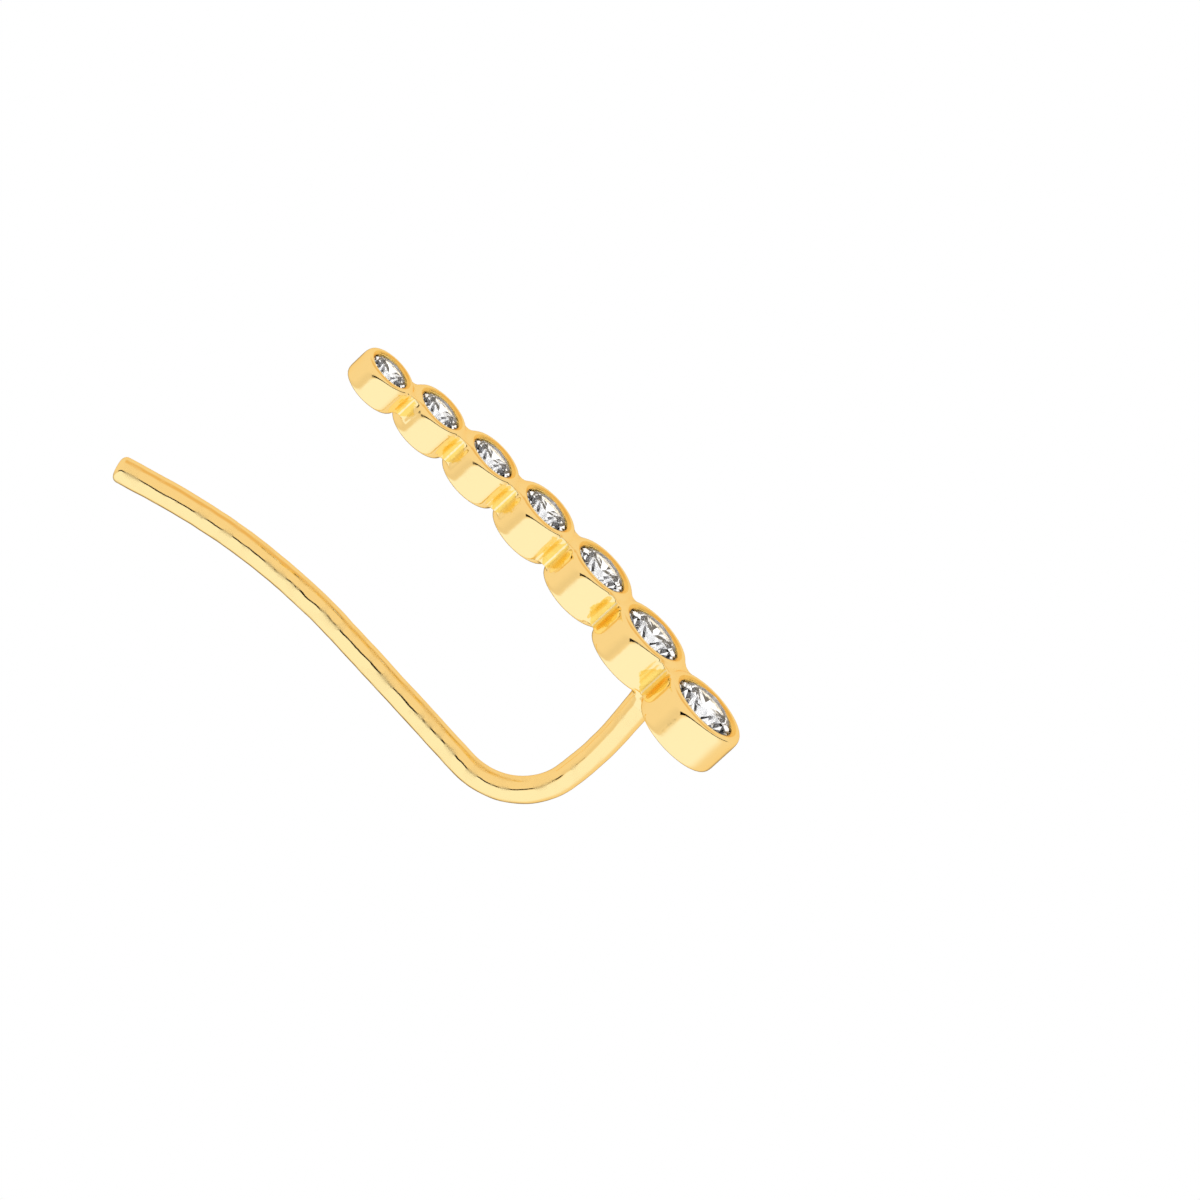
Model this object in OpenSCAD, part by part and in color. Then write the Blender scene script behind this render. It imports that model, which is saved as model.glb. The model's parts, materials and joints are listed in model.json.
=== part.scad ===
// Ear climber: a curved row of seven graduated round settings, each holding one brilliant,
// cast in one piece with the bent wire that passes through the ear.
// It lies on its outward curve: X runs along the row, the stones face along +Y, +Z is up.

/* [Row of settings] */
// Outer diameter of the smallest setting
small_setting_d = 2.12; // [1.9:0.01:2.4]
// Outer diameter of the largest setting
large_setting_d = 3.26; // [3.0:0.01:3.6]
// Depth of the smallest setting from its rim to its back
small_setting_depth = 1.18; // [1.1:0.01:1.3]
// Depth of the largest setting from its rim to its back
large_setting_depth = 1.64; // [1.55:0.01:1.8]

/* [Rims] */
// Width of the smallest setting's rim, from its outer wall to the opening
small_rim = 0.335; // [0.3:0.005:0.36]
// Width of the largest setting's rim
large_rim = 0.425; // [0.38:0.005:0.45]
// Part of the rim's width that lies outside its crest
crest_share = 0.65; // [0.5:0.01:0.75]
// Height over which the rim rounds down into the outer wall
rim_round = 0.3; // [0.2:0.01:0.35]
// Radius of the rounded edge at the back
back_round = 0.18; // [0.1:0.01:0.25]
// Drop from the rim's crest to the edge of the opening
lip_drop = 0.05; // [0.03:0.01:0.08]
// Thickness of the lip that holds the stone
lip_thickness = 0.1; // [0.08:0.01:0.12]

/* [Necks] */
// Waist of a neck as a share of the two radii that it joins
neck_share = 0.5; // [0.4:0.01:0.55]
// Radius of the hollow sides of a neck
neck_hollow = 0.5; // [0.45:0.01:0.6]
// Drop from the rims' crests to the top of a neck
neck_drop = 0.12; // [0.1:0.01:0.2]
// How far a neck's back stays short of the shallower setting's back
neck_inset = 0.08; // [0.05:0.01:0.15]

/* [Stones] */
// How far the lip covers the edge of a stone
stone_tuck = 0.07; // [0.05:0.01:0.08]
// Clearance between a stone and its seat, measured along the stone's axis
stone_clearance = 0.04; // [0.035:0.005:0.05]
// Angle of the main facets above the girdle
crown_angle = 34; // [32:0.5:36]
// Angle of the main facets below the girdle
pavilion_angle = 40.75; // [39:0.25:42]
// Diameter of the table as a share of the stone's diameter
table_share = 0.56; // [0.5:0.01:0.62]
// Radius of the open back as a share of the stone's radius
open_back_share = 0.62; // [0.5:0.01:0.7]

/* [Ear wire] */
// Diameter of the ear wire
wire_d = 0.95; // [0.8:0.01:1]
// Diameter of the wire where it is soldered to the row
wire_root_d = 1.04; // [1:0.01:1.1]
// Length of the tapering stem behind the row
stem_length = 1.8; // [1.5:0.01:2]
// Lean of the stem away from the small end of the row, in degrees
stem_lean = 6.3; // [4:0.1:7]
// Length of the stretch that runs behind the row
run_length = 5.9; // [5:0.1:7]
// Length of the straight free end
free_end_length = 1.56; // [1.4:0.01:3]

/* [Hidden] */
$fn = 96;

// The settings from the smallest to the largest. The first two columns are shares of the way from
// the small sizes above (0) to the large ones (1); the others are the angle of the way to the next
// setting, the distance between their walls (they are cast into each other where it is negative),
// and how far the face leans towards the inner side of the curve, in degrees
DIAMETER = 0;
DEPTH = 1;
HEADING = 2;
GAP = 3;
LEAN = 4;
settings = [
    [0.00, 0.00, 26.4, 0.09, 3.5],
    [0.18, 0.38, 14.8, 0.06, 3.5],
    [0.26, 0.56, 10.2, 0.05, 3.5],
    [0.40, 0.76, 1.3, 0.02, 3.5],
    [0.60, 0.94, -12.8, -0.07, 2.0],
    [0.81, 0.98, -20.4, 0.02, 0.5],
    [1.00, 1.00, 0, 0, 0]
];
last = len(settings) - 1;

// Bends of the ear wire: radius and angle, in the order in which the wire takes them
stem_bend = [11.8, 12.9];
main_bend = [2.7, 83.4];
tip_bend = [22.5, -20];
// Distance of the stem's root from the joint of the last two settings
stem_inset = 0.1;
// Depth at which the stem's root starts inside the metal
stem_start = 1.25;
// Radius of the rounded edge of the wire's tip
tip_round = 0.2;
// How far the weld at the end of each bend stands above the wire, which joins the stretches for certain
weld = 0.004;

// How the piece lies: turn of the row in its own plane, tilt of the faces above the surface,
// and the shift that brings the middle of its underside to the origin
row_turn = 2.19;
face_tilt = 17.1;
rest_shift = [1.249, 4.453, 3.736];

function blend(a, b, t) = a + (b - a) * t;
function heading(i) = [cos(settings[i][HEADING]), sin(settings[i][HEADING])];
function setting_r(i) = blend(small_setting_d, large_setting_d, settings[i][DIAMETER]) / 2;
function opening_r(i) = setting_r(i) - blend(small_rim, large_rim, i / last);
function crest_r(i) = setting_r(i) - crest_share * (setting_r(i) - opening_r(i));
function depth(i) = blend(small_setting_depth, large_setting_depth, settings[i][DEPTH]);
function stone_r(i) = opening_r(i) + stone_tuck;
function step(i) = setting_r(i) + settings[i][GAP] + setting_r(i + 1);
function centre(i) = i == 0 ? [0, 0] : centre(i - 1) + step(i - 1) * heading(i - 1);
function joint(i) = centre(i) + (setting_r(i) + settings[i][GAP] / 2) * heading(i);
function row_middle() = (centre(0) + centre(last)) / 2;
// Points of a quarter of an ellipse, from angle a to angle a + 90
function quarter(middle, size, a) = [for (k = [0:6]) middle + [size[0] * cos(a + 15 * k), size[1] * sin(a + 15 * k)]];

// Heights of a stone's parts, measured from the crest of its rim
function girdle_top(i) = -(lip_drop + lip_thickness + stone_tuck * tan(crown_angle) + stone_clearance);
function girdle_thickness(i) = 0.05 * stone_r(i);
function table_r(i) = table_share * stone_r(i);
function crown_height(i) = (stone_r(i) - table_r(i)) * tan(crown_angle);
function pavilion_depth(i) = stone_r(i) * tan(pavilion_angle);

// Body of a setting before its seat is cut, turned about its own axis
module setting_blank(i) {
    rotate_extrude()
        polygon(concat(
            [[0, -depth(i)]],
            quarter([setting_r(i) - back_round, -depth(i) + back_round], [back_round, back_round], -90),
            quarter([crest_r(i), -rim_round], [setting_r(i) - crest_r(i), rim_round], 0),
            [[opening_r(i), -lip_drop], [0, -lip_drop]]
        ));
}

// Everything that is cut away for a stone: opening, seat and open back
module seat(i) {
    seat_r = stone_r(i) + stone_clearance / 2;
    lip_back = -lip_drop - lip_thickness;
    seat_top = lip_back - (seat_r - opening_r(i)) * tan(crown_angle);
    seat_bottom = girdle_top(i) - girdle_thickness(i) - stone_clearance;
    back_r = open_back_share * stone_r(i);
    back_top = seat_bottom - (seat_r - back_r) * tan(pavilion_angle);
    rotate_extrude()
        polygon([
            [0, 1],
            [opening_r(i), 1],
            [opening_r(i), lip_back],
            [seat_r, seat_top],
            [seat_r, seat_bottom],
            [back_r, back_top],
            [back_r, -depth(i) - 1],
            [0, -depth(i) - 1]
        ]);
}

// Web between two settings, with a hollow on each side
module neck(i) {
    waist = neck_share * (setting_r(i) + setting_r(i + 1)) / 2;
    length = 0.6;
    height = min(depth(i), depth(i + 1)) - neck_inset - neck_drop;
    edge = waist + neck_hollow - sqrt(pow(neck_hollow, 2) - pow(length / 2, 2));
    translate([joint(i)[0], joint(i)[1], -neck_drop - height])
        rotate([0, 0, settings[i][HEADING]])
            linear_extrude(height)
                difference() {
                    square([length, 2 * edge], center = true);
                    for (side = [-1, 1])
                        translate([0, side * (waist + neck_hollow)])
                            circle(neck_hollow);
                }
}

// A straight stretch of wire along +Z, with what follows it at its end
module straight(length, from_r, to_r) {
    cylinder(h = length, r1 = from_r, r2 = to_r);
    translate([0, 0, length])
        children();
}

// A bend from +Z towards +X, or towards -X when the angle is negative
module bend(way) {
    radius = way[0];
    angle = abs(way[1]);
    side = way[1] < 0 ? 180 : 0;
    rotate([0, 0, side]) {
        translate([radius, 0, 0])
            rotate([90, 0, 180])
                rotate_extrude(angle = angle)
                    translate([radius, 0])
                        circle(wire_d / 2);
        translate([radius * (1 - cos(angle)), 0, radius * sin(angle)])
            rotate([0, angle, 0])
                rotate([0, 0, -side]) {
                    sphere(wire_d / 2 + weld);
                    children();
                }
    }
}

// Rounded tip of the wire
module tip() {
    rotate_extrude()
        polygon(concat([[0, 0]], quarter([wire_d / 2 - tip_round, 0], [tip_round, tip_round], 0), [[0, tip_round]]));
}

module ear_wire() {
    root = joint(last - 1) - stem_inset * [1, 0];
    translate([root[0], root[1], -stem_start])
        rotate([0, 180 - stem_lean, 0])
            straight(stem_length, wire_root_d / 2, wire_d / 2)
                bend(stem_bend)
                    bend(main_bend)
                        straight(run_length, wire_d / 2, wire_d / 2)
                            bend(tip_bend)
                                straight(free_end_length, wire_d / 2, wire_d / 2)
                                    tip();
}

// Brilliant: table, stars, kites and upper girdle facets over the girdle, and below it
// the lower girdle facets and the mains that meet in the point
module brilliant(i) {
    r = stone_r(i);
    star_r = (table_r(i) * cos(22.5) + r) / 2;
    star_z = crown_height(i) * (r - star_r * cos(22.5)) / (r - table_r(i));
    lower_r = 0.25 * r;
    thick = girdle_thickness(i);
    lower_z = -thick - pavilion_depth(i) * (1 - lower_r * cos(22.5) / r);
    function ring(n, radius, z, start) = [for (k = [0:n - 1]) [
        radius * cos(start + 360 * k / n), radius * sin(start + 360 * k / n), z
    ]];
    points = concat(
        ring(8, table_r(i), crown_height(i), 0),
        ring(8, star_r, star_z, 22.5),
        ring(16, r, 0, 0),
        ring(16, r, -thick, 0),
        ring(8, lower_r, lower_z, 22.5),
        [[0, 0, -thick - pavilion_depth(i)]]
    );
    function table(k) = k % 8;
    function star(k) = 8 + (k + 8) % 8;
    function upper(k) = 16 + k % 16;
    function under(k) = 32 + k % 16;
    function lower(k) = 48 + (k + 8) % 8;
    culet = 56;
    faces = concat(
        [[for (k = [7:-1:0]) table(k)]],
        [for (k = [0:7]) [table(k), star(k), upper(2 * k), star(k - 1)]],
        [for (k = [0:7]) [table(k), table(k + 1), star(k)]],
        [for (k = [0:7]) [star(k), upper(2 * k + 1), upper(2 * k)]],
        [for (k = [0:7]) [star(k), upper(2 * k + 2), upper(2 * k + 1)]],
        [for (k = [0:15]) [upper(k), upper(k + 1), under(k + 1), under(k)]],
        [for (k = [0:7]) [under(2 * k), under(2 * k + 1), lower(k)]],
        [for (k = [0:7]) [under(2 * k + 1), under(2 * k + 2), lower(k)]],
        [for (k = [0:7]) [under(2 * k), lower(k), culet, lower(k - 1)]]
    );
    translate([0, 0, girdle_top(i)])
        polyhedron(points, faces);
}

// Puts what is modelled on a setting's own axis in its place in the row
module placed(i) {
    translate(centre(i))
        rotate([settings[i][LEAN], 0, 0])
            children();
}

// Lays the piece, modelled with its stones facing up, on its outward curve
module laid() {
    translate(rest_shift)
        rotate([face_tilt - 90, 0, 0])
            rotate([0, 0, row_turn])
                translate([-row_middle()[0], -row_middle()[1], 0])
                    children();
}

module row_and_ear_wire() {
    color("goldenrod")
        laid()
            difference() {
                union() {
                    for (i = [0:last])
                        placed(i)
                            setting_blank(i);
                    for (i = [0:last - 1])
                        neck(i);
                    ear_wire();
                }
                for (i = [0:last])
                    placed(i)
                        seat(i);
            }
}

module stone(number) {
    color("whitesmoke")
        laid()
            placed(number - 1)
                brilliant(number - 1);
}

row_and_ear_wire();
stone(1);  // stone_1
stone(2);  // stone_2
stone(3);  // stone_3
stone(4);  // stone_4
stone(5);  // stone_5
stone(6);  // stone_6
stone(7);  // stone_7
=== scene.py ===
# %% [markdown]
# # An ear climber in polished gold
#
# The object is a climber: a gently curved row of seven bezel settings, each a little larger than the
# one before, with a bent wire behind them that goes through the ear. It is 21 mm long, so a tenth of
# a millimetre already shows, and almost everything that the eye sees on it is a reflection. So this
# lesson is about three things: smooth metal, stones that bend light, and a studio to reflect.
#
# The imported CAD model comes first. It is the fixed frame: every piece below is built at the place
# and size that the CAD gives, in metres, lying on the floor at height zero.

# %% Load the frame
import json
import math

import bpy
import numpy as np
from mathutils import Matrix, Vector


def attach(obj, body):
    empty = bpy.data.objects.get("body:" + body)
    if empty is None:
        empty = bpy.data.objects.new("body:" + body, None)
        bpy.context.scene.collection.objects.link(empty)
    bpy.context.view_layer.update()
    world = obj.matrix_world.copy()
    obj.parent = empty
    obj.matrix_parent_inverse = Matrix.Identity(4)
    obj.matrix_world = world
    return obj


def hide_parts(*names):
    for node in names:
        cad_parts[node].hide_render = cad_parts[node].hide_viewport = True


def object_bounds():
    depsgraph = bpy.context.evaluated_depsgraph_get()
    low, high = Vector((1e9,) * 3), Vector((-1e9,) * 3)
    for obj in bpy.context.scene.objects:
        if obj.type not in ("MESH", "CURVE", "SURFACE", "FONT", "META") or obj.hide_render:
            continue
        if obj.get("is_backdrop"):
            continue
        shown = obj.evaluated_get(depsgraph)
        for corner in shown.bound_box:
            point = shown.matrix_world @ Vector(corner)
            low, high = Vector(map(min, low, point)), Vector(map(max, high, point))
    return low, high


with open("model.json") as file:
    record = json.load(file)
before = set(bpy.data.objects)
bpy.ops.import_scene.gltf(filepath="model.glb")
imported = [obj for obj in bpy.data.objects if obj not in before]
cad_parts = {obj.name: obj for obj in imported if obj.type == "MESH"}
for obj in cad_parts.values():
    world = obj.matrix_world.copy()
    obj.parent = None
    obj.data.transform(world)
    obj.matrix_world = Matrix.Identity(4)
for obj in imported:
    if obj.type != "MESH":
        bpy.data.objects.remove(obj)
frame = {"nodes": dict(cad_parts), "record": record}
CAD_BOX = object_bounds()
MM = 0.001
print("nodes:", ", ".join(sorted(frame["nodes"])))
print("size in mm:", [round(side / MM, 2) for side in CAD_BOX[1] - CAD_BOX[0]])

# %% [markdown]
# ## Reading the settings off the stones
#
# A jeweller measures a setting by its stone. The CAD stones are exact, so they can tell where each
# setting stands: the corners of a brilliant lie evenly round its axis, so their mean is a point of
# the axis, and the direction in which they spread least is the axis itself. The point of the stone
# reaches further from the mean than its table, which tells front from back. Typed in places would
# miss the stones as soon as the CAD changed. Sizes are worked out in millimetres, as at the bench.

# %% Measure each stone and its setting
# Corners that agree to this many decimals of a millimetre are the same corner
DECIMALS = 5
# Corners with at least this share of the widest reach lie on the stone's girdle
GIRDLE_SHARE = 0.999
# Drop from the rim's crest to the stone's girdle, and how far the rim's lip covers the stone
GIRDLE_DROP = 0.2372
STONE_TUCK = 0.07
# Width of the rims, from the smallest setting to the largest
RIM_WIDTHS = (0.335, 0.425)
# The back of a setting is looked for down to this depth, within this share of its outer radius
DEEPEST_BACK = 2.0
BACK_REACH = 0.55

stone_names = sorted(name for name in frame["nodes"] if name.startswith("stone_"))


def corners_of(name):
    """The corners of a CAD node, each once, in millimetres."""
    corners = np.array([vertex.co for vertex in frame["nodes"][name].data.vertices])
    return np.unique(np.round(corners / MM, DECIMALS), axis=0)


def measure_setting(name, share):
    """Centre of the rim's crest, axis, radii and depth of the setting that holds a stone."""
    corners = corners_of(name)
    middle = corners.mean(axis=0)
    axis = np.linalg.svd(corners - middle)[2][2]
    heights = (corners - middle) @ axis
    if heights.max() > -heights.min():
        axis, heights = -axis, -heights
    reach = np.linalg.norm(corners - middle - np.outer(heights, axis), axis=1)
    stone_radius = reach.max()
    girdle = heights[reach > GIRDLE_SHARE * stone_radius].max()
    crest = middle + axis * (girdle + GIRDLE_DROP)
    opening = stone_radius - STONE_TUCK
    outer = opening + RIM_WIDTHS[0] + share * (RIM_WIDTHS[1] - RIM_WIDTHS[0])
    metal = corners_of("row_and_ear_wire") - crest
    back = metal @ axis
    inside = np.linalg.norm(metal - np.outer(back, axis), axis=1) < BACK_REACH * outer
    depth = -back[inside & (back > -DEEPEST_BACK)].min()
    return dict(
        centre=crest, axis=axis, depth=depth,
        outer_radius=outer, opening_radius=opening, stone_radius=stone_radius,
    )


last = len(stone_names) - 1
settings = [measure_setting(name, i / last) for i, name in enumerate(stone_names)]
for name, setting in zip(stone_names, settings):
    width, depth = 2 * setting["outer_radius"], setting["depth"]
    print(name, "setting", round(width, 2), "mm across and", round(depth, 2), "mm deep")

# %% [markdown]
# ## Formulas as nodes
#
# Geometry Nodes will make the metal from a formula, and a formula of a hundred steps is hard to read
# as a list of nodes and links. The class below stands for one socket. Adding or multiplying two of
# them makes the Math node that does it, so the formula reads as on paper.

# %% A socket that can be used in formulas
class Value:
    """A socket of a node tree. Sums, products and comparisons of values add the nodes for them."""

    def __init__(self, tree, socket):
        self.tree = tree
        self.socket = socket

    def through(self, kind, operation, *others):
        """The value after one node of that kind, with the other values on its next inputs."""
        node = self.tree.nodes.new(kind)
        node.operation = operation
        for socket, value in zip(node.inputs, (self, *others)):
            feed(self.tree, socket, value)
        return output_of(self.tree, node)

    def math(self, operation, *others):
        return self.through("ShaderNodeMath", operation, *others)

    def vector(self, operation, *others):
        return self.through("ShaderNodeVectorMath", operation, *others)

    def __add__(self, other):
        return self.math("ADD", other)

    def __sub__(self, other):
        return self.math("SUBTRACT", other)

    def __mul__(self, other):
        return self.math("MULTIPLY", other)

    def __neg__(self):
        return self.math("MULTIPLY", -1)

    def from_0_to_1(self):
        """The value, kept from 0 to 1."""
        return self.math("MAXIMUM", 0).math("MINIMUM", 1)

    def smooth_min(self, other, blend):
        """The smaller value, eased over where the two are nearly equal: a union with a fillet."""
        return self.math("SMOOTH_MIN", other, blend)

    def smooth_max(self, other, blend):
        """The larger value, eased over: what two shapes share, with a rounded edge."""
        return self.math("SMOOTH_MAX", other, blend)

    def dot(self, other):
        """How far a vector goes along another one."""
        return self.vector("DOT_PRODUCT", other)

    def minus(self, other):
        """Difference of two vectors."""
        return self.vector("SUBTRACT", other)

    def scaled(self, factor):
        """A vector made longer or shorter by a number."""
        result = self.vector("SCALE")
        feed(self.tree, result.socket.node.inputs["Scale"], factor)
        return result


def feed(tree, socket, value):
    """Links a value or a socket to a socket, or sets the socket to a plain number or vector."""
    source = value.socket if isinstance(value, Value) else value
    if isinstance(source, bpy.types.NodeSocket):
        tree.links.new(source, socket)
    else:
        socket.default_value = source


def input_of(node, label):
    """The input of that name that is in use: a node may hide others under the same name."""
    return next(socket for socket in node.inputs if socket.name == label and socket.enabled)


def output_of(tree, node):
    """The first output in use, as a value."""
    return Value(tree, next(socket for socket in node.outputs if socket.enabled))


print("formulas can now be written as nodes")

# %% [markdown]
# Two more helpers make whole nodes and whole trees, with their sockets named in the call.

# %% Nodes and trees with named sockets
FLOAT, VECTOR, COLOR = "NodeSocketFloat", "NodeSocketVector", "NodeSocketColor"
GEOMETRY = "NodeSocketGeometry"


def add_node(tree, kind, choices=None, **inputs):
    """A node with its choices and, by name with _ for a space, its inputs."""
    node = tree.nodes.new(kind)
    for name, value in (choices or {}).items():
        setattr(node, name, value)
    for name, value in inputs.items():
        feed(tree, input_of(node, name.replace("_", " ")), value)
    return node


def value_of(tree, kind, choices=None, **inputs):
    """What a new node puts out first, as a value."""
    return output_of(tree, add_node(tree, kind, choices, **inputs))


def new_tree(name, kind, inputs, outputs):
    """A node tree with named sockets, and its inputs as values by name."""
    tree = bpy.data.node_groups.new(name, kind)
    for side, sockets in (("INPUT", inputs), ("OUTPUT", outputs)):
        for label, socket_type, *default in sockets:
            socket = tree.interface.new_socket(label, in_out=side, socket_type=socket_type)
            if default:
                socket.default_value = default[0]
    entry = tree.nodes.new("NodeGroupInput")
    return tree, {socket.name: Value(tree, socket) for socket in entry.outputs if socket.name}


print("nodes and trees can now be made with named sockets")

# %% [markdown]
# ## The rule of a bezel setting
#
# A bezel is a short tube with a thin lip pressed over the edge of the stone. Seven tubes joined by
# booleans would meet in hard creases, while in the cast and polished piece a small fillet fills
# every crease. A distance formula gives that for nothing. It says how far a point is from the
# surface, less than nothing inside the metal, and a smooth minimum of two such distances is the
# union of two shapes with a fillet. The group below is the rule for one setting: its body, with a
# crest near the opening and a long roundover, and the hollow for the stone, open at the back.

# %% Node group for one setting
# Angle of the stone's main facets below its girdle, which the seat follows
PAVILION_ANGLE = math.radians(40.75)


def position_of(tree):
    """The place of each point."""
    return value_of(tree, "GeometryNodeInputPosition")


def round_an_axis(offset, axis):
    """Height along an axis and distance from it, of an offset from a point of the axis."""
    height = offset.dot(axis)
    return height, (offset.dot(offset) - height * height).math("MAXIMUM", 0).math("SQRT")


bezel, given = new_tree(
    "Bezel setting",
    "GeometryNodeTree",
    [
        ("Centre", VECTOR), ("Axis", VECTOR), ("Outer Radius", FLOAT), ("Opening Radius", FLOAT),
        ("Stone Radius", FLOAT), ("Depth", FLOAT), ("Crest Share", FLOAT, 0.65),
        ("Crest Edge", FLOAT, 0.08), ("Lip Drop", FLOAT, 0.1), ("Roundover", FLOAT, 0.46),
        ("Back Edge", FLOAT, 0.32), ("Back Share", FLOAT, 0.62), ("Stone Gap", FLOAT, 0.03),
        ("Seat Edge", FLOAT, 0.04),
    ],
    [("Body", FLOAT), ("Hollow", FLOAT), ("Inside Crest", FLOAT)],
)
height, reach = round_an_axis(position_of(bezel).minus(given["Centre"]), given["Axis"])

rim = given["Outer Radius"] - given["Opening Radius"]
crest_radius = given["Outer Radius"] - rim * given["Crest Share"]
lip_slope = given["Lip Drop"].math("DIVIDE", crest_radius - given["Opening Radius"])
lip_face = height + (crest_radius - reach) * lip_slope
top = height.smooth_max(lip_face, given["Crest Edge"])
wall = reach - given["Outer Radius"]
back = -height - given["Depth"]
body = wall.smooth_max(top, given["Roundover"]).smooth_max(back, given["Back Edge"])

over_girdle = height + GIRDLE_DROP
opening = reach - given["Opening Radius"]
pavilion_reach = reach - given["Stone Radius"] - given["Stone Gap"]
pavilion = pavilion_reach * math.sin(PAVILION_ANGLE) - over_girdle * math.cos(PAVILION_ANGLE)
seat = opening.smooth_max(pavilion - given["Stone Gap"], given["Seat Edge"])
open_back = reach - given["Stone Radius"] * given["Back Share"]
hollow = seat.smooth_min(open_back, given["Seat Edge"])
add_node(bezel, "NodeGroupOutput", Body=body, Hollow=hollow, Inside_Crest=crest_radius - reach)
print("bezel rule:", len(bezel.nodes), "nodes")

# %% [markdown]
# ## The rule of a web
#
# Between two settings the caster leaves a short web of metal. It is narrower than the settings,
# hollow on both sides, and stays a little below the rims, so that each rim still reads as a ring.
# Its outline in plan is a strip across the gap with a round bite out of each end. The buff doesn't
# reach into the groove on either side of it, so a patch there in the shape of a leaf stays rougher,
# and it is painted a deeper gold, as shade where the walls of the groove face each other. The group
# says how far inside this leaf a point is, for the material to use later.

# %% Node group for one web
web, given = new_tree(
    "Web between settings",
    "GeometryNodeTree",
    [
        ("Middle", VECTOR), ("Along", VECTOR), ("Across", VECTOR), ("Up", VECTOR), ("Waist", FLOAT),
        ("Depth", FLOAT), ("Half Length", FLOAT, 0.3), ("Hollow Radius", FLOAT, 0.5),
        ("Bite Edge", FLOAT, 0.05), ("Top Drop", FLOAT, 0.12), ("Edge", FLOAT, 0.12),
        ("Leaf Start", FLOAT, 0.1), ("Leaf Spread", FLOAT, 0.8), ("Leaf Width", FLOAT, 0.66),
        ("Leaf Round", FLOAT, 0.25),
    ],
    [("Body", FLOAT), ("From Middle", FLOAT), ("Leaf", FLOAT)],
)
offset = position_of(web).minus(given["Middle"])
along = offset.dot(given["Along"]).math("ABSOLUTE")
across = offset.dot(given["Across"]).math("ABSOLUTE")
height = offset.dot(given["Up"])

bite_centre = given["Waist"] + given["Hollow Radius"]
to_bite = across.math("MINIMUM", bite_centre) - bite_centre
bite = given["Hollow Radius"] - (along * along + to_bite * to_bite).math("SQRT")
outline = (along - given["Half Length"]).smooth_max(bite, given["Bite Edge"])
body = outline.smooth_max(height + given["Top Drop"], given["Edge"])
body = body.smooth_max(-height - given["Depth"], given["Edge"])

from_top = -height - given["Leaf Start"]
from_back = height + given["Depth"] + given["Leaf Start"]
half_width = from_top.math("MINIMUM", from_back) * given["Leaf Spread"]
widest = given["Waist"] * given["Leaf Width"]
leaf = half_width.smooth_min(widest, given["Leaf Round"]) - along
add_node(web, "NodeGroupOutput", Body=body, From_Middle=along, Leaf=leaf)
print("web rule:", len(web.nodes), "nodes")

# %% [markdown]
# ## The row as one casting: its settings
#
# The real row is cast in one piece, so it is made as one surface too. The tree gets the settings as
# points with attributes. A repeat zone puts each point's numbers into the rule of a setting and
# gathers the distances into one. What comes out of it isn't a number but the whole rule.

# %% Node tree of the row: gather the settings
# Stands for "nothing there yet" before the first setting is gathered, in mm
FAR = 100.0


def attribute_of(tree, name, kind="FLOAT"):
    """What the mesh stores under that name, as a value."""
    return value_of(tree, "GeometryNodeInputNamedAttribute", {"data_type": kind}, Name=name)


def repeat_zone(tree, count, items):
    """A repeat zone that carries the named numbers, each with its first value."""
    start = tree.nodes.new("GeometryNodeRepeatInput")
    end = tree.nodes.new("GeometryNodeRepeatOutput")
    start.pair_with_output(end)
    end.repeat_items.clear()
    for name, first in items.items():
        end.repeat_items.new("FLOAT", name)
        feed(tree, start.inputs[name], first)
    feed(tree, start.inputs["Iterations"], count)
    return start, end


def gathered(tree, zone, one, choices):
    """Ends a zone: each number is chosen between the one gathered so far and the new one."""
    start, end = zone
    for label, (choice, *fillet) in choices.items():
        so_far = Value(tree, start.outputs[label])
        feed(tree, end.inputs[label], so_far.math(choice, one.outputs[label], *fillet))
    return [Value(tree, end.outputs[label]) for label in choices]


row_tree, given = new_tree(
    "Cast row",
    "GeometryNodeTree",
    [
        ("Settings", GEOMETRY), ("Cell", FLOAT), ("Low Corner", VECTOR), ("High Corner", VECTOR),
        ("Fillet", FLOAT, 0.16), ("Web Fillet", FLOAT, 0.14), ("Web Waist", FLOAT, 0.5),
        ("Web Inset", FLOAT, 0.2), ("Lip Edge", FLOAT, 0.04), ("Root", VECTOR), ("Root Way", VECTOR),
        ("Root Radius", FLOAT), ("Root Length", FLOAT), ("Root Taper", FLOAT),
        ("Root Edge", FLOAT, 0.02), ("Root Fillet", FLOAT, 0.3), ("Unevenness", FLOAT, 0.006),
        ("Wave Size", FLOAT, 0.9), ("Slope Step", FLOAT, 0.004), ("Metal", "NodeSocketMaterial"),
    ],
    [("Casting", GEOMETRY)],
)


def of_setting(name, index):
    """What the setting with that index states, as the same value everywhere."""
    kind = "FLOAT_VECTOR" if name in ("centre", "axis") else "FLOAT"
    return value_of(
        row_tree, "GeometryNodeSampleIndex", {"data_type": kind, "clamp": True},
        Geometry=given["Settings"], Value=attribute_of(row_tree, name, kind), Index=index,
    )


domain = {"component": "MESH"}
size = add_node(row_tree, "GeometryNodeAttributeDomainSize", domain, Geometry=given["Settings"])
count = Value(row_tree, size.outputs["Point Count"])

zone = repeat_zone(row_tree, count, {"Body": FAR, "Hollow": FAR, "Inside Crest": -FAR})
index = Value(row_tree, zone[0].outputs["Iteration"])
one = add_node(
    row_tree, "GeometryNodeGroup", {"node_tree": bezel},
    Centre=of_setting("centre", index), Axis=of_setting("axis", index),
    Outer_Radius=of_setting("outer_radius", index), Depth=of_setting("depth", index),
    Opening_Radius=of_setting("opening_radius", index),
    Stone_Radius=of_setting("stone_radius", index),
)
bezels, hollow, inside_crest = gathered(row_tree, zone, one, {
    "Body": ("SMOOTH_MIN", given["Fillet"]), "Hollow": ("MINIMUM",), "Inside Crest": ("MAXIMUM",),
})
print("row tree with its settings:", len(row_tree.nodes), "nodes")

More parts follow.
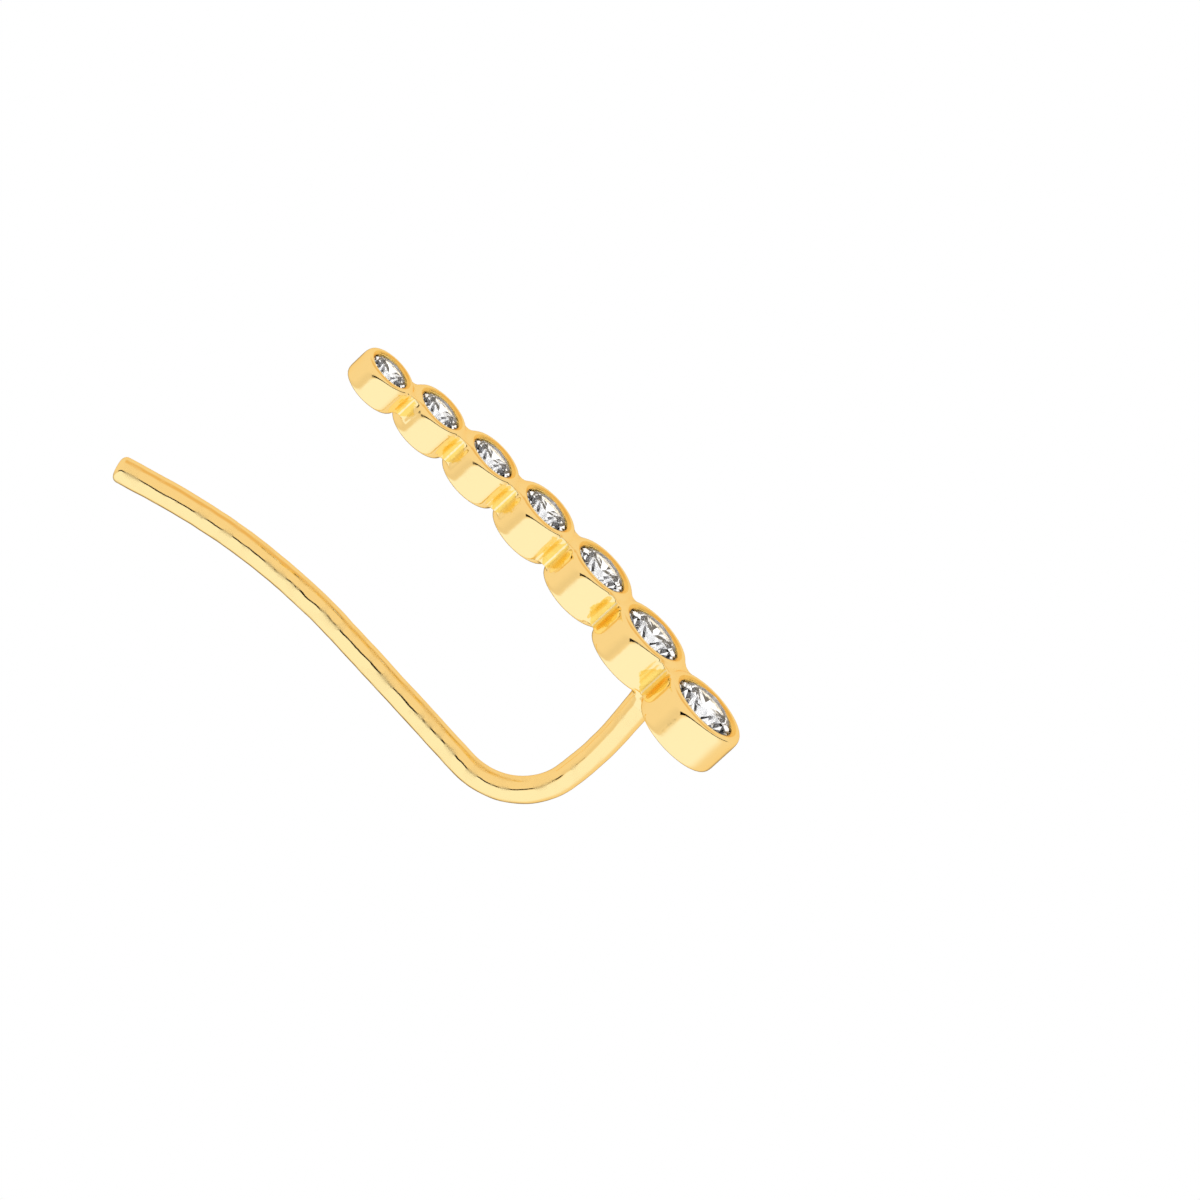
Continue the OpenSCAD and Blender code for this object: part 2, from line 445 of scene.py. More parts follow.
# %% [markdown]
# ## The row as one casting: its webs
#
# A second repeat zone adds the six webs, each in the middle of the gap between two settings. Its
# place is worked out inside the tree, so a longer row or other stones need no new numbers.

# %% Node tree of the row: gather the webs
zone = repeat_zone(row_tree, count - 1, {"Body": FAR, "From Middle": FAR, "Leaf": -FAR})
index = Value(row_tree, zone[0].outputs["Iteration"])
here = of_setting("centre", index)
radius = of_setting("outer_radius", index)
next_radius = of_setting("outer_radius", index + 1)
depth = of_setting("depth", index).math("MINIMUM", of_setting("depth", index + 1))
up = of_setting("axis", count - 1)
way = of_setting("centre", index + 1).minus(here)
along = way.vector("NORMALIZE")
to_middle = (way.vector("LENGTH") - radius - next_radius) * 0.5 + radius

one = add_node(
    row_tree, "GeometryNodeGroup", {"node_tree": web},
    Middle=here.vector("ADD", along.scaled(to_middle)), Along=along,
    Across=along.vector("CROSS_PRODUCT", up), Up=up,
    Waist=(radius + next_radius) * 0.5 * given["Web Waist"], Depth=depth - given["Web Inset"],
)
webs, from_middle, leaf = gathered(row_tree, zone, one, {
    "Body": ("MINIMUM",), "From Middle": ("MINIMUM",), "Leaf": ("MAXIMUM",),
})
print("row tree with its webs:", len(row_tree.nodes), "nodes")

# %% [markdown]
# ## The row as one casting: the solder and the hand
#
# The wire is soldered in behind the joint of the two largest settings. The solder draws up round it
# in a fillet, so a short stub of the wire belongs to the casting's rule. It covers the wire at its
# root and tapers until it sinks below the wire's surface. At last a slow noise moves the whole
# surface by a few thousandths of a millimetre, as filing and buffing by hand leave it.

# %% Node tree of the row: join the parts
def unevenness_of(tree, amount, wave_size):
    """A slow noise in mm, with waves of the given size."""
    place = position_of(tree).scaled(wave_size.math("POWER", -1))
    waves = value_of(tree, "ShaderNodeTexNoise", Vector=place, Scale=1.0, Detail=1.0)
    return (waves - 0.5) * amount


height, reach = round_an_axis(position_of(row_tree).minus(given["Root"]), given["Root Way"])
stem = reach - given["Root Radius"] + height * given["Root Taper"]
stem = stem.smooth_max(height - given["Root Length"], given["Root Edge"]).math("MAXIMUM", -height)
metal = bezels.smooth_min(webs, given["Web Fillet"]).smooth_min(stem, given["Root Fillet"])
surface = metal.smooth_max(-hollow, given["Lip Edge"])
surface = surface - unevenness_of(row_tree, given["Unevenness"], given["Wave Size"])
print("row tree with its whole rule:", len(row_tree.nodes), "nodes")

# %% [markdown]
# ## The row as one casting: from the rule to a mesh
#
# The rule is used twice. First it fills a box of small cells, from which Volume to Mesh takes the
# surface. That mesh is a little uneven, and polished gold would show it at once. So the same rule
# then says how far each point still is from the true surface, and Set Position moves it there. The
# mesh also keeps three numbers for the material: how far a point is inside the leaf of a groove,
# from the middle of a web, and inside the crest of a rim.

# %% Node tree of the row: make the mesh
# Share of filling at which the surface lies, and number of cells over which the filling fades
SURFACE_LEVEL = 0.5
FADE_CELLS = 4
# How often the points are moved onto the true surface
PULLS = 4


def moved(tree, geometry, offset):
    return value_of(tree, "GeometryNodeSetPosition", Geometry=geometry, Offset=offset)


def stored(tree, geometry, name, value):
    return value_of(
        tree, "GeometryNodeStoreNamedAttribute", {"data_type": "FLOAT", "domain": "POINT"},
        Geometry=geometry, Name=name, Value=value,
    )


def normal_of(tree):
    """The way in which the surface faces."""
    return value_of(tree, "GeometryNodeInputNormal")


filling = surface.math("DIVIDE", given["Cell"] * -FADE_CELLS) + SURFACE_LEVEL
cube = add_node(
    row_tree, "GeometryNodeVolumeCube",
    Density=filling.from_0_to_1(), Min=given["Low Corner"], Max=given["High Corner"],
)
sides = add_node(
    row_tree, "ShaderNodeSeparateXYZ", Vector=given["High Corner"].minus(given["Low Corner"])
)
for axis in "XYZ":
    cells = Value(row_tree, sides.outputs[axis]).math("DIVIDE", given["Cell"])
    feed(row_tree, cube.inputs["Resolution " + axis], cells)
casting = value_of(
    row_tree, "GeometryNodeVolumeToMesh", Volume=cube.outputs[0], Threshold=SURFACE_LEVEL
)
for _ in range(PULLS):
    casting = moved(row_tree, casting, normal_of(row_tree).scaled(-surface))
for name, value in (("web", leaf), ("from_middle", from_middle), ("inside_crest", inside_crest)):
    casting = stored(row_tree, casting, name, value)
print("row tree with its mesh:", len(row_tree.nodes), "nodes")

# %% [markdown]
# ## The row as one casting: exact normals
#
# A mirror shows how its surface faces rather than where it is. Triangles of a twentieth of a
# millimetre still bend a reflected line, because their own normals are only averages. The rule
# knows better: the surface faces where the distance grows fastest. So every point is moved a hair
# along X, Y and Z and back, the distance is noted at each end, and the three differences are the
# exact normal.

# %% Node tree of the row: set the normals and finish
SLOPES = {"X": "slope_x", "Y": "slope_y", "Z": "slope_z"}


def slope_of(tree, geometry, distance, step):
    """Measures how the distance grows along X, Y and Z, and gives the way in which it grows."""
    slope = tree.nodes.new("ShaderNodeCombineXYZ")
    for axis, name in SLOPES.items():
        ahead = value_of(tree, "ShaderNodeCombineXYZ", **{axis: step})
        back = value_of(tree, "ShaderNodeCombineXYZ", **{axis: step * -2})
        geometry = moved(tree, geometry, ahead)
        geometry = stored(tree, geometry, name, distance)
        geometry = moved(tree, geometry, back)
        geometry = stored(tree, geometry, name, attribute_of(tree, name) - distance)
        geometry = moved(tree, geometry, ahead)
        feed(tree, slope.inputs[axis], attribute_of(tree, name))
    return geometry, output_of(tree, slope).vector("NORMALIZE")


def facing(tree, geometry, normal):
    """The mesh with that normal on its points, and without the slopes that were stored for it."""
    geometry = value_of(
        tree, "GeometryNodeSetMeshNormal", {"mode": "FREE", "domain": "POINT"},
        Mesh=geometry, Custom_Normal=normal,
    )
    for name in SLOPES.values():
        geometry = value_of(tree, "GeometryNodeRemoveAttribute", Geometry=geometry, Name=name)
    return geometry


def in_metres(tree, geometry):
    """From millimetres to metres, shaded smooth."""
    geometry = value_of(tree, "GeometryNodeTransform", Geometry=geometry, Scale=(MM, MM, MM))
    return value_of(tree, "GeometryNodeSetShadeSmooth", Geometry=geometry)


def finished(tree, geometry, metal):
    """The last steps of every tree: real geometry with its material."""
    geometry = value_of(tree, "GeometryNodeRealizeInstances", Geometry=geometry)
    return value_of(tree, "GeometryNodeSetMaterial", Geometry=geometry, Material=metal)


casting, slope = slope_of(row_tree, casting, surface, given["Slope Step"])
casting = facing(row_tree, in_metres(row_tree, casting), slope)
add_node(row_tree, "NodeGroupOutput", Casting=finished(row_tree, casting, given["Metal"]))
print("row tree:", len(row_tree.nodes), "nodes")

# %% [markdown]
# ## Polished gold
#
# What tells real polished gold from a perfect mirror is small: the buff leaves a faint unevenness
# and a haze that comes and goes, and it can't reach into the grooves, where the metal stays duller
# and slightly torn. The grooves are also painted a deeper gold, as shade where their walls face each
# other, and the ridge in the middle of a web a paler gold, as a painted highlight. Inside the crest
# of a rim the lip is burnished down by hand, and is duller as well; it is painted a deeper gold, as
# shade where it slopes into the setting.
#
# Four materials for the four tones would have hard borders. So one group puts out a colour, a
# roughness and a height for the bump: the numbers that the mesh carries mix the tones, and a noise
# makes the borders ragged.

# %% Node group for a buffed metal, with painted shade and highlight
# Waves a millimetre of the haze, of the buff's marks and of the torn skin in the grooves
HAZE_WAVES = 1.7
MARK_WAVES = 3.5
SKIN_WAVES = 9.0
SOFT_DETAIL = 2.0
FINE_DETAIL = 3.0
# The haze's noise is clear metal up to the first value and full haze from the second
HAZE_EDGE = (0.45, 0.62)
# How far the border of a groove strays in mm, and that of its ridge as a share of it
STRAY = 0.2
RIDGE_STRAY = 0.16
# From where to where the groove, its ridge and the lip take over, in mm
GROOVE_EDGE = (-0.02, 0.04)
RIDGE_EDGE = (0.045, 0.02)
LIP_EDGE = (-0.01, 0.03)


def noise(tree, position, scale, detail=SOFT_DETAIL):
    """Noise from 0 to 1 over the position, with its scale in waves for each unit."""
    return value_of(tree, "ShaderNodeTexNoise", Vector=position, Scale=scale, Detail=detail)


def blend(tree, share, first, second):
    """A colour that goes from the first to the second as the share goes from 0 to 1."""
    return value_of(tree, "ShaderNodeMix", {"data_type": "RGBA"}, Factor=share, A=first, B=second)


def edge(value, start, end):
    """From 0 to 1 while the value goes from start to end, eased."""
    return value_of(
        value.tree, "ShaderNodeMapRange", {"interpolation_type": "SMOOTHSTEP"},
        Value=value, From_Min=start, From_Max=end,
    )


buffed, given = new_tree(
    "Buffed metal with painted shade",
    "ShaderNodeTree",
    [
        ("Position", VECTOR), ("Groove", FLOAT, 0.0), ("Ridge", FLOAT, 0.0), ("Lip", FLOAT, 0.0),
        ("Color", COLOR), ("Groove Color", COLOR), ("Ridge Color", COLOR), ("Lip Color", COLOR),
        ("Polish", FLOAT, 0.035), ("Haze", FLOAT, 0.11), ("Groove Roughness", FLOAT, 0.5),
        ("Lip Roughness", FLOAT, 0.25), ("Buff Marks", FLOAT, 0.003), ("Torn Skin", FLOAT, 0.003),
    ],
    [("Color", COLOR), ("Roughness", FLOAT), ("Height", FLOAT)],
)
haze = edge(noise(buffed, given["Position"], HAZE_WAVES), *HAZE_EDGE)
marks = noise(buffed, given["Position"], MARK_WAVES, FINE_DETAIL)
skin = noise(buffed, given["Position"], SKIN_WAVES, FINE_DETAIL)
stray = (skin - 0.5) * STRAY
in_groove = edge(given["Groove"] + stray, *GROOVE_EDGE)
# Where the ridge of a web gets its painted highlight
painted_ridge_highlight = edge(given["Ridge"] + stray * RIDGE_STRAY, *RIDGE_EDGE) * in_groove
on_lip = edge(given["Lip"], *LIP_EDGE)

# The grooves and the lips get painted shade, the ridge of a web a painted highlight
color = blend(buffed, in_groove, given["Color"], given["Groove Color"])
color = blend(buffed, painted_ridge_highlight, color, given["Ridge Color"])
color = blend(buffed, on_lip, color, given["Lip Color"])
roughness = given["Polish"] + given["Haze"] * haze
roughness = roughness + in_groove * skin * given["Groove Roughness"]
roughness = roughness + on_lip * given["Lip Roughness"]
bumps = marks * given["Buff Marks"] + skin * in_groove * given["Torn Skin"]
add_node(buffed, "NodeGroupOutput", Color=color, Roughness=roughness, Height=bumps)
print("buffed metal:", len(buffed.nodes), "nodes")

# %% [markdown]
# The material itself holds the shader, fully metallic. The row and the wire get one each, because
# the row is buffed last and the wire, which is only drawn and bent, keeps more haze.
#
# One thing is there for the stones. The gold of the seats would make them yellow, while in the
# photograph they are white, grey and black. Light Path counts the surfaces of glass that a ray went
# through: on such rays the metal is silvery, with a little light of its own.

# %% The gold
GOLD = (0.99, 0.82, 0.43, 1)
# Painted shade: a deeper gold in the grooves, where their walls face each other
GROOVE_SHADE_GOLD = (1.0, 0.72, 0.18, 1)
# Painted highlight: a paler gold on the ridge in the middle of a web
RIDGE_HIGHLIGHT_GOLD = (1.0, 0.88, 0.52, 1)
# Painted shade: a deeper gold on the lip inside a rim's crest, where it slopes into the setting
LIP_SHADE_GOLD = (0.96, 0.68, 0.22, 1)
# Tint of what the gold reflects where the surface turns away
EDGE_TINT = (1, 0.86, 0.6, 1)
ROW_HAZE = 0.11
WIRE_HAZE = 0.24
# Stands for "no groove here" on the wire
NO_GROOVE = -1
SILVERY = (1, 1, 1, 1)
BLACK = (0, 0, 0, 1)
SEAT_LIGHT = (0.06, 0.06, 0.063, 1)


def new_material(name):
    """An empty material and its node tree."""
    material = bpy.data.materials.new(name)
    material.use_nodes = True
    material.node_tree.nodes.clear()
    return material, material.node_tree


def show(tree, shader, kind="ShaderNodeOutputMaterial"):
    """Makes the shader what the material or the world shows."""
    feed(tree, tree.nodes.new(kind).inputs["Surface"], shader.outputs[0])


def object_position(tree):
    """The place on the object, in millimetres."""
    place = Value(tree, tree.nodes.new("ShaderNodeTexCoord").outputs["Object"])
    return place.scaled(1 / MM)


def mesh_number(tree, name):
    """A number that the mesh carries on its points."""
    return Value(tree, add_node(tree, "ShaderNodeAttribute", {"attribute_name": name}).outputs["Fac"])


def through_glass(tree):
    """1 on rays that went through a stone, else 0."""
    light_path = tree.nodes.new("ShaderNodeLightPath")
    return Value(tree, light_path.outputs["Transmission Depth"]).math("MINIMUM", 1)


def gold_material(name, haze, places):
    """Polished gold with that haze; where the mesh marks it, another finish and painted shade and
    highlight.
    """
    material, tree = new_material(name)
    finish = add_node(
        tree, "ShaderNodeGroup", {"node_tree": buffed}, Position=object_position(tree),
        Color=GOLD, Groove_Color=GROOVE_SHADE_GOLD, Ridge_Color=RIDGE_HIGHLIGHT_GOLD, Lip_Color=LIP_SHADE_GOLD,
        Haze=haze, Groove=NO_GROOVE,
    )
    for label, attribute in places.items():
        feed(tree, finish.inputs[label], mesh_number(tree, attribute))
    bump = add_node(
        tree, "ShaderNodeBump", Height=finish.outputs["Height"], Distance=MM, Strength=1.0
    )
    seen_by_stone = through_glass(tree)
    shader = add_node(
        tree, "ShaderNodeBsdfPrincipled", Metallic=1, Specular_Tint=EDGE_TINT,
        Base_Color=blend(tree, seen_by_stone, finish.outputs["Color"], SILVERY),
        Emission_Color=blend(tree, seen_by_stone, BLACK, SEAT_LIGHT), Emission_Strength=1,
        Roughness=finish.outputs["Roughness"], Normal=bump.outputs[0],
    )
    show(tree, shader)
    return material


row_gold = gold_material(
    "gold_of_row_of_settings", ROW_HAZE,
    {"Groove": "web", "Ridge": "from_middle", "Lip": "inside_crest"},
)
wire_gold = gold_material("gold_of_ear_wire", WIRE_HAZE, {})
print("materials:", row_gold.name, "and", wire_gold.name)

# %% [markdown]
# ## Running a tree
#
# A tree makes nothing until an object carries it as a modifier. Its inputs are set by the sockets'
# identifiers, because two inputs may share a name. The evaluated result becomes a plain mesh, and
# the modifier goes, so that the finished piece is the same in every program that reads it. The tree
# may leave an empty slot before the metal's, so the slots are filled anew.

# %% Turn an object with a tree into a plain mesh
def grow(name, source, tree, metal, **inputs):
    """A new piece: the mesh that a node tree makes of the source mesh, with named inputs."""
    piece = bpy.data.objects.new(name, source)
    bpy.context.collection.objects.link(piece)
    modifier = piece.modifiers.new(tree.name, "NODES")
    modifier.node_group = tree
    sockets = [item for item in tree.interface.items_tree if item.in_out == "INPUT"]
    identifiers = {socket.name: socket.identifier for socket in sockets}
    for label, value in {**inputs, "Metal": metal}.items():
        modifier[identifiers[label.replace("_", " ")]] = value
    depsgraph = bpy.context.evaluated_depsgraph_get()
    mesh = bpy.data.meshes.new_from_object(piece.evaluated_get(depsgraph))
    mesh.name = name
    piece.modifiers.clear()
    piece.data = mesh
    mesh.materials.clear()
    mesh.materials.append(metal)
    mesh.calc_loop_triangles()
    print(name + ":", len(mesh.loop_triangles), "triangles")
    return piece


def points_mesh(name, places, **attributes):
    """A mesh of loose points with named attributes, to feed a tree."""
    mesh = bpy.data.meshes.new(name)
    mesh.from_pydata([tuple(place) for place in places], [], [])
    for label, values in attributes.items():
        values = np.array(values, dtype=np.float32)
        kind, part = ("FLOAT_VECTOR", "vector") if values.ndim == 2 else ("FLOAT", "value")
        attribute = mesh.attributes.new(label, kind, "POINT")
        attribute.data.foreach_set(part, values.ravel())
    return mesh


setting_points = points_mesh(
    "setting points",
    [setting["centre"] for setting in settings],
    **{key: [setting[key] for setting in settings] for key in settings[0]},
)
print(len(setting_points.vertices), "points with", sorted(settings[0]))

# %% [markdown]
# ## Where the wire is soldered in
#
# The record states two mounts, and both lie on the wire: the seat of the piercing, on the stem that
# leaves the back of the row, and the wire's tip. A mount is an exact place with an exact direction,
# so the stem is built back from it.

# %% Find the root of the wire
mounts = {mount["name"]: mount for mount in frame["record"]["mounts"]}
seat_mount, tip_mount = mounts["piercing_seat"], mounts["ear_wire_tip"]
# Length of the stem from its root inside the row to the piercing's seat
STEM_LENGTH = 1.8
# Radius of the wire where it is soldered to the row, and of the rest
ROOT_RADIUS = 0.52
WIRE_RADIUS = 0.475
stem_way = Vector(seat_mount["axis"]).normalized()
stem_root = Vector(seat_mount["pos_m"]) / MM - stem_way * STEM_LENGTH
print("root of the wire in mm:", [round(value, 2) for value in stem_root])

# %% [markdown]
# ## Casting the row
#
# The box of cells is just large enough for the settings, their backs and the stub of the wire. A
# ring round an axis reaches along X by its radius times the sine of the axis's angle to X, and so on
# for Y and Z. Smaller cells would follow the fillets more closely, but with these the row already
# has 174,000 triangles.

# %% Cast the row
CELL = 0.0515
MARGIN = 0.25
# The solder collar: its length from the root, how far it stands out over the wire there, and how
# far it has sunk below the wire's surface at its end
ROOT_COLLAR = 1.1
COLLAR_STEP = 0.02
COLLAR_SINK = 0.012
WIRE_TAPER = (ROOT_RADIUS - WIRE_RADIUS) / STEM_LENGTH

centres = np.array([setting["centre"] for setting in settings])
axes = np.array([setting["axis"] for setting in settings])
radii = np.array([setting["outer_radius"] for setting in settings])[:, None]
depths = np.array([setting["depth"] for setting in settings])[:, None]
sides = np.sqrt(1 - axes**2) * radii
backs = centres - axes * depths
stub_end = np.array(stem_root + stem_way * ROOT_COLLAR) - ROOT_RADIUS
low = np.vstack([centres - sides, backs - sides, [stub_end]]).min(axis=0) - MARGIN
high = np.vstack([centres + sides, backs + sides]).max(axis=0) + MARGIN

row = grow(
    "row_of_settings", setting_points, row_tree, row_gold,
    Cell=CELL, Low_Corner=low.tolist(), High_Corner=high.tolist(),
    Root=tuple(stem_root), Root_Way=tuple(stem_way), Root_Radius=ROOT_RADIUS + COLLAR_STEP,
    Root_Length=ROOT_COLLAR, Root_Taper=WIRE_TAPER + (COLLAR_STEP + COLLAR_SINK) / ROOT_COLLAR,
)

# %% [markdown]
# ## The route of the wire
#
# The wire is drawn round, bent over a mandrel and filed at its tip. Its route lies in one plane: the
# stem, a slight bend, the main bend behind the ear, a straight run and the tip that turns away. A
# Bezier curve would only come near to the CAD's true straights and arcs. So two short functions lay
# many points, and the last ones follow a quarter circle, which rounds the edge of the tip.

# %% The route of the wire
# Radius in mm and angle in degrees of each bend, in the order in which the wire takes them
STEM_BEND = (11.8, 12.9)
MAIN_BEND = (2.7, 83.4)
TIP_BEND = (22.5, -20)
RUN_LENGTH = 5.9
FREE_END_LENGTH = 1.56
# Radius of the tip's rounded edge, and the angles of its rings in degrees
TIP_ROUND = 0.2
TIP_ANGLES = (15, 30, 45, 60, 75, 88)
# Distance between two points of the route
ROUTE_STEP = 0.05

plane_normal = stem_way.cross(Vector(tip_mount["axis"])).normalized()
route = [(stem_root.copy(), ROOT_RADIUS)]


def go_straight(way, length, end_radius):
    """Adds points along a straight stretch over which the radius changes evenly."""
    start, start_radius = route[-1]
    count = math.ceil(length / ROUTE_STEP)
    for i in range(1, count + 1):
        share = i / count
        radius = start_radius + (end_radius - start_radius) * share
        route.append((start + way * length * share, radius))
    return way


def go_round(way, bend):
    """Adds points along an arc in the wire's plane, and returns the way in which it leaves."""
    radius, angle = bend[0], math.radians(bend[1])
    start, wire_radius = route[-1]
    side = plane_normal.cross(way) * math.copysign(1, angle)
    count = math.ceil(radius * abs(angle) / ROUTE_STEP)
    for i in range(1, count + 1):
        turned = abs(angle) * i / count
        on_arc = way * math.sin(turned) + side * (1 - math.cos(turned))
        route.append((start + on_arc * radius, wire_radius))
    return Matrix.Rotation(angle, 3, plane_normal) @ way


way = go_straight(stem_way, STEM_LENGTH, WIRE_RADIUS)
for bend in (STEM_BEND, MAIN_BEND):
    way = go_round(way, bend)
way = go_straight(way, RUN_LENGTH, WIRE_RADIUS)
way = go_round(way, TIP_BEND)
way = go_straight(way, FREE_END_LENGTH, WIRE_RADIUS)
start = route[-1][0]
for turned in np.radians(TIP_ANGLES):
    radius = WIRE_RADIUS - TIP_ROUND * (1 - math.cos(turned))
    route.append((start + way * TIP_ROUND * math.sin(turned), radius))

length = sum((b[0] - a[0]).length for a, b in zip(route, route[1:]))
off_axis = math.degrees(way.angle(Vector(tip_mount["axis"])))
print("wire", round(length, 2), "mm long, its end", round(off_axis, 2), "degrees off its mount")

# %% [markdown]
# ## Sweeping the wire
#
# Curve to Mesh sweeps a circle along the route, and the radius that each point carries gives the
# taper at the root and the rounded tip. A wire that was bent by hand is never quite even, so a noise
# moves its surface too, more than the row's, but not near the root, where the solder collar fits
# closely.

# %% Sweep the wire
wire_tree, given = new_tree(
    "Ear wire",
    "GeometryNodeTree",
    [
        ("Route", GEOMETRY), ("Sides", "NodeSocketInt", 72), ("Unevenness At Root", FLOAT, 0.006),
        ("Unevenness", FLOAT, 0.04), ("Wave Size", FLOAT, 0.8), ("Root", VECTOR),
        ("Even Length", FLOAT, 1.2), ("Metal", "NodeSocketMaterial"),
    ],
    [("Wire", GEOMETRY)],
)
circle = value_of(
    wire_tree, "GeometryNodeCurvePrimitiveCircle", {"mode": "RADIUS"},
    Radius=1.0, Resolution=given["Sides"],
)
swept = value_of(
    wire_tree, "GeometryNodeCurveToMesh", Profile_Curve=circle, Fill_Caps=True,
    Curve=value_of(wire_tree, "GeometryNodeMeshToCurve", Mesh=given["Route"]),
    Scale=attribute_of(wire_tree, "wire_radius"),
)
from_root = position_of(wire_tree).minus(given["Root"]).vector("LENGTH")
fade = (from_root - given["Even Length"]).from_0_to_1()
amount = given["Unevenness At Root"] + fade * (given["Unevenness"] - given["Unevenness At Root"])
uneven = unevenness_of(wire_tree, amount, given["Wave Size"])
swept = in_metres(wire_tree, moved(wire_tree, swept, normal_of(wire_tree).scaled(uneven)))
add_node(wire_tree, "NodeGroupOutput", Wire=finished(wire_tree, swept, given["Metal"]))

places, wire_radii = zip(*route)
route_mesh = points_mesh("route", places, wire_radius=wire_radii)
route_mesh.edges.add(len(route) - 1)
route_mesh.edges.foreach_set("vertices", [i + k for i in range(len(route) - 1) for k in (0, 1)])
wire = grow("ear_wire", route_mesh, wire_tree, wire_gold, Root=tuple(stem_root))

# %% [markdown]
# ## Clear stones
#
# A brilliant is clear, and its black and white pattern is the studio seen through several inner
# reflections. So the shape has to be exact, which the CAD facets are, and the material is plain
# glass. Diamond's own index of 2.42 breaks stones this small up into grey specks, so a lower one
# gives the few long strokes of the photograph.

# %% The stones
REFRACTIVE_INDEX = 2.05
# Waves a millimetre of the faint change in tint, and its two ends
TINT_WAVES = 0.8
STONE_TINTS = ((0.965, 0.975, 1, 1), (1, 1, 1, 1))

gem, tree = new_material("clear_stone")
ramp = add_node(
    tree, "ShaderNodeValToRGB", Fac=noise(tree, object_position(tree), TINT_WAVES)
)
for element, tint in zip(ramp.color_ramp.elements, STONE_TINTS):
    element.color = tint
# A black specular tint keeps the plain reflection on the facets weak, as a polarising filter does
show(tree, add_node(
    tree, "ShaderNodeBsdfPrincipled", IOR=REFRACTIVE_INDEX, Transmission_Weight=1, Roughness=0,
    Specular_Tint=BLACK, Base_Color=ramp.outputs[0],
))
for name in stone_names:
    stone = frame["nodes"][name]
    stone.data.materials.clear()
    stone.data.materials.append(gem)
    for polygon in stone.data.polygons:
        polygon.material_index = 0
print(len(stone_names), "stones get:", gem.name)

# %% [markdown]
# ## Camera
#
# The view is the photograph's: the piece lies on its curved outer side, and the camera looks almost
# straight down on it, 20 degrees above the plane of the row. A long lens far away keeps the
# perspective as flat as a product photograph's. Its place is worked out from the piece.

# %% The camera
# Elevation of the view over the plane of the row's rims
VIEW_ELEVATION = math.radians(20)
# Way of the row in the picture, to the right and down
ROW_IN_PICTURE = (0.6769, 0.7364)
# Side of the picture in pixels, size of a pixel in mm, and where the middle of the row lies
PICTURE_SIDE = 1200
PIXEL = 0.0334
ROW_MIDDLE_PIXEL = (550.45, 537.44)
LENS = 300
SENSOR = 36
NEAREST, FARTHEST = 0.01, 20

face = Vector(settings[-1]["axis"]).normalized()
outward = plane_normal if plane_normal.z < 0 else -plane_normal
along_row = outward.cross(face)
row_middle = (Vector(settings[0]["centre"]) + Vector(settings[-1]["centre"])) / 2
toward_camera = face * math.sin(VIEW_ELEVATION) - outward * math.cos(VIEW_ELEVATION)
face_in_picture = face * math.cos(VIEW_ELEVATION) + outward * math.sin(VIEW_ELEVATION)
right = along_row * ROW_IN_PICTURE[0] + face_in_picture * ROW_IN_PICTURE[1]
up = face_in_picture * ROW_IN_PICTURE[0] - along_row * ROW_IN_PICTURE[1]
target = (
    row_middle
    + right * (PICTURE_SIDE / 2 - ROW_MIDDLE_PIXEL[0]) * PIXEL
    - up * (PICTURE_SIDE / 2 - ROW_MIDDLE_PIXEL[1]) * PIXEL
)
camera_distance = PICTURE_SIDE * PIXEL * LENS / SENSOR

camera = bpy.data.objects.new("camera", bpy.data.cameras.new("camera"))
bpy.context.collection.objects.link(camera)
camera.data.lens = LENS
camera.data.sensor_width = SENSOR
camera.data.clip_start = NEAREST
camera.data.clip_end = FARTHEST
turn = Matrix((right, up, toward_camera)).transposed().to_4x4()
camera.matrix_world = Matrix.Translation((target + toward_camera * camera_distance) * MM) @ turn
bpy.context.scene.camera = camera
off_vertical = math.degrees(toward_camera.angle(Vector((0, 0, 1))))
print("camera stands", round(off_vertical, 1), "degrees off the vertical")

# %% [markdown]
# ## Studio: the cloths
#
# Small jewels are photographed in a tent of cloth, and polished metal shows nothing else: here a
# bright cloth below, and above it a warmer and dimmer one, deeper where two widths of it overlap.
#
# Planes and lamps would be slow to render and full of noise on so small a mirror. So the tent is
# painted on the world, by how far a direction rises in the picture, how far it goes to the side, and
# how far to the camera. These ways are fixed in the world, and stay when another camera looks.

# %% Paint the cloths on the world
WHITE = (1, 1, 1, 1)
LOWER_CLOTH = (1.04, 1.04, 1.04, 1)
UPPER_CLOTH = (0.966, 0.80, 0.572, 1)
# The lower cloth fades in over these heights, a little lower on the left
LOWER_EDGE = (0.02, -0.1)
LEFT_SHIFT = 0.12
LEFT_SIDE = (-0.3, -0.6)
# It ends behind the piece, further back on the left than on the right, with a soft edge
CLOTH_END = -0.35
CLOTH_SLANT = 0.55
CLOTH_FADE = 0.3
# Where two widths of the upper cloth overlap: its tone, and its four soft edges
LAP_CLOTH = (0.86, 0.56, 0.24, 1)
LAP_START = (-0.4, 0.0)
LAP_END = (0.55, 0.2)
LAP_FOOT = (0.15, 0.45)
LAP_LEFT = (0.0, 0.3)

world = bpy.data.worlds.new("tent")
bpy.context.scene.world = world
world.use_nodes = True
tree = world.node_tree
tree.nodes.clear()
way = Value(tree, tree.nodes.new("ShaderNodeTexCoord").outputs["Generated"])
rise = way.dot(tuple(up))
side = way.dot(tuple(right))
ahead = way.dot(tuple(toward_camera))

lower = edge(rise + edge(side, *LEFT_SIDE) * LEFT_SHIFT, *LOWER_EDGE)
lower = lower * edge(ahead - side * CLOTH_SLANT, CLOTH_END - CLOTH_FADE, CLOTH_END + CLOTH_FADE)
lap = edge(ahead, *LAP_START) * edge(ahead, *LAP_END)
lap = lap * edge(rise, *LAP_FOOT) * edge(side, *LAP_LEFT)
cloth = blend(tree, lower, blend(tree, lap, UPPER_CLOTH, LAP_CLOTH), LOWER_CLOTH)
print("cloths:", len(tree.nodes), "nodes")

